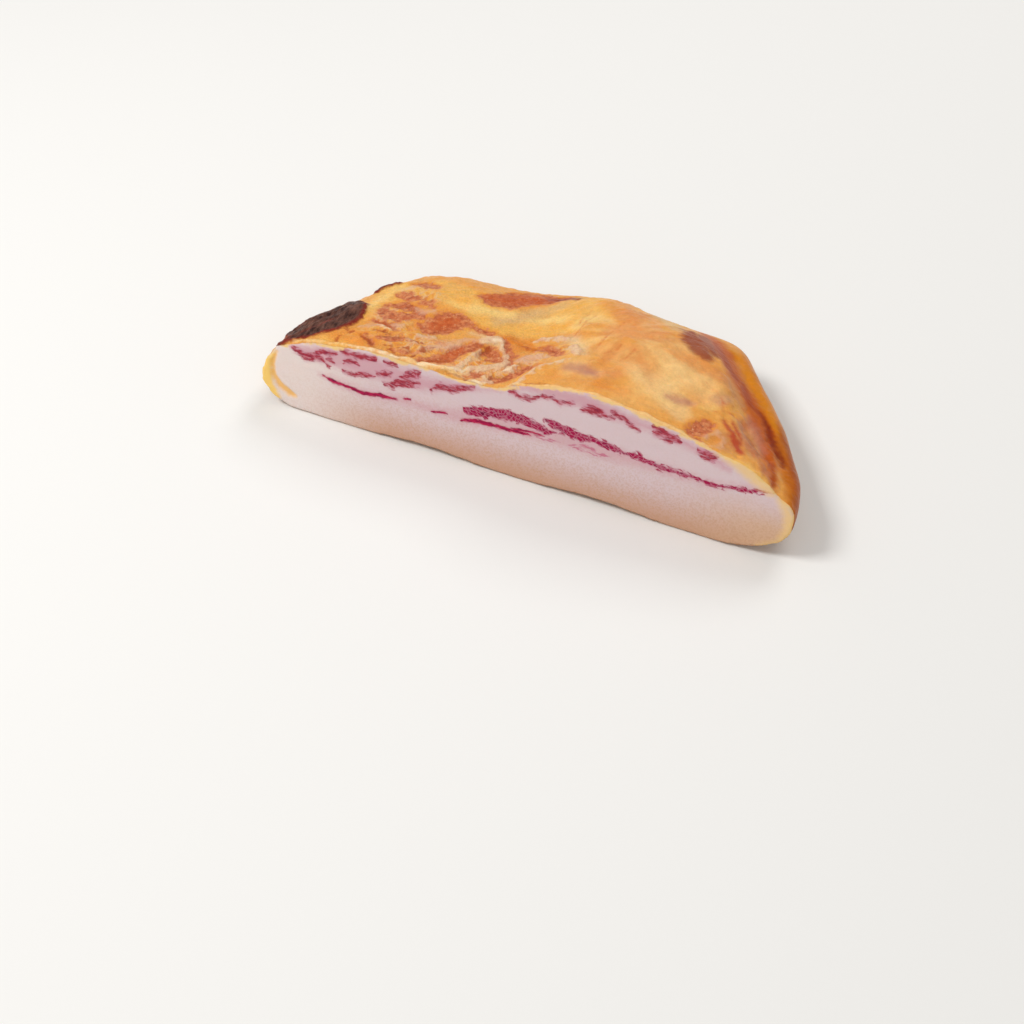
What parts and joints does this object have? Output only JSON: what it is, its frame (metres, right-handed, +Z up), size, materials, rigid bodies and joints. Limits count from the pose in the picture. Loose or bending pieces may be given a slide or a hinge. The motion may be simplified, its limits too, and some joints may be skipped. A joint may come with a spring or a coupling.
{
  "type": "guanciale",
  "caption": "Half of a cured pork jowl, cut lengthwise: a leaning flat cut face in front, a rounded meat side above, thinner edges and a flat rind below.",
  "frame": {"origin": "middle of the bounding box's bottom face, on the surface that the rind rests on", "axes": "+X along the cut face, to the right as seen from in front of the cut; +Y back from the cut face; +Z up, from the rind to the meat side"},
  "size_m": [0.272, 0.1184, 0.0575],
  "materials": {
    "cured_pork": "satin, slightly greasy cured fat"
  },
  "bodies": {
    "root": {"guanciale": "cured_pork"}
  },
  "joints": []
}
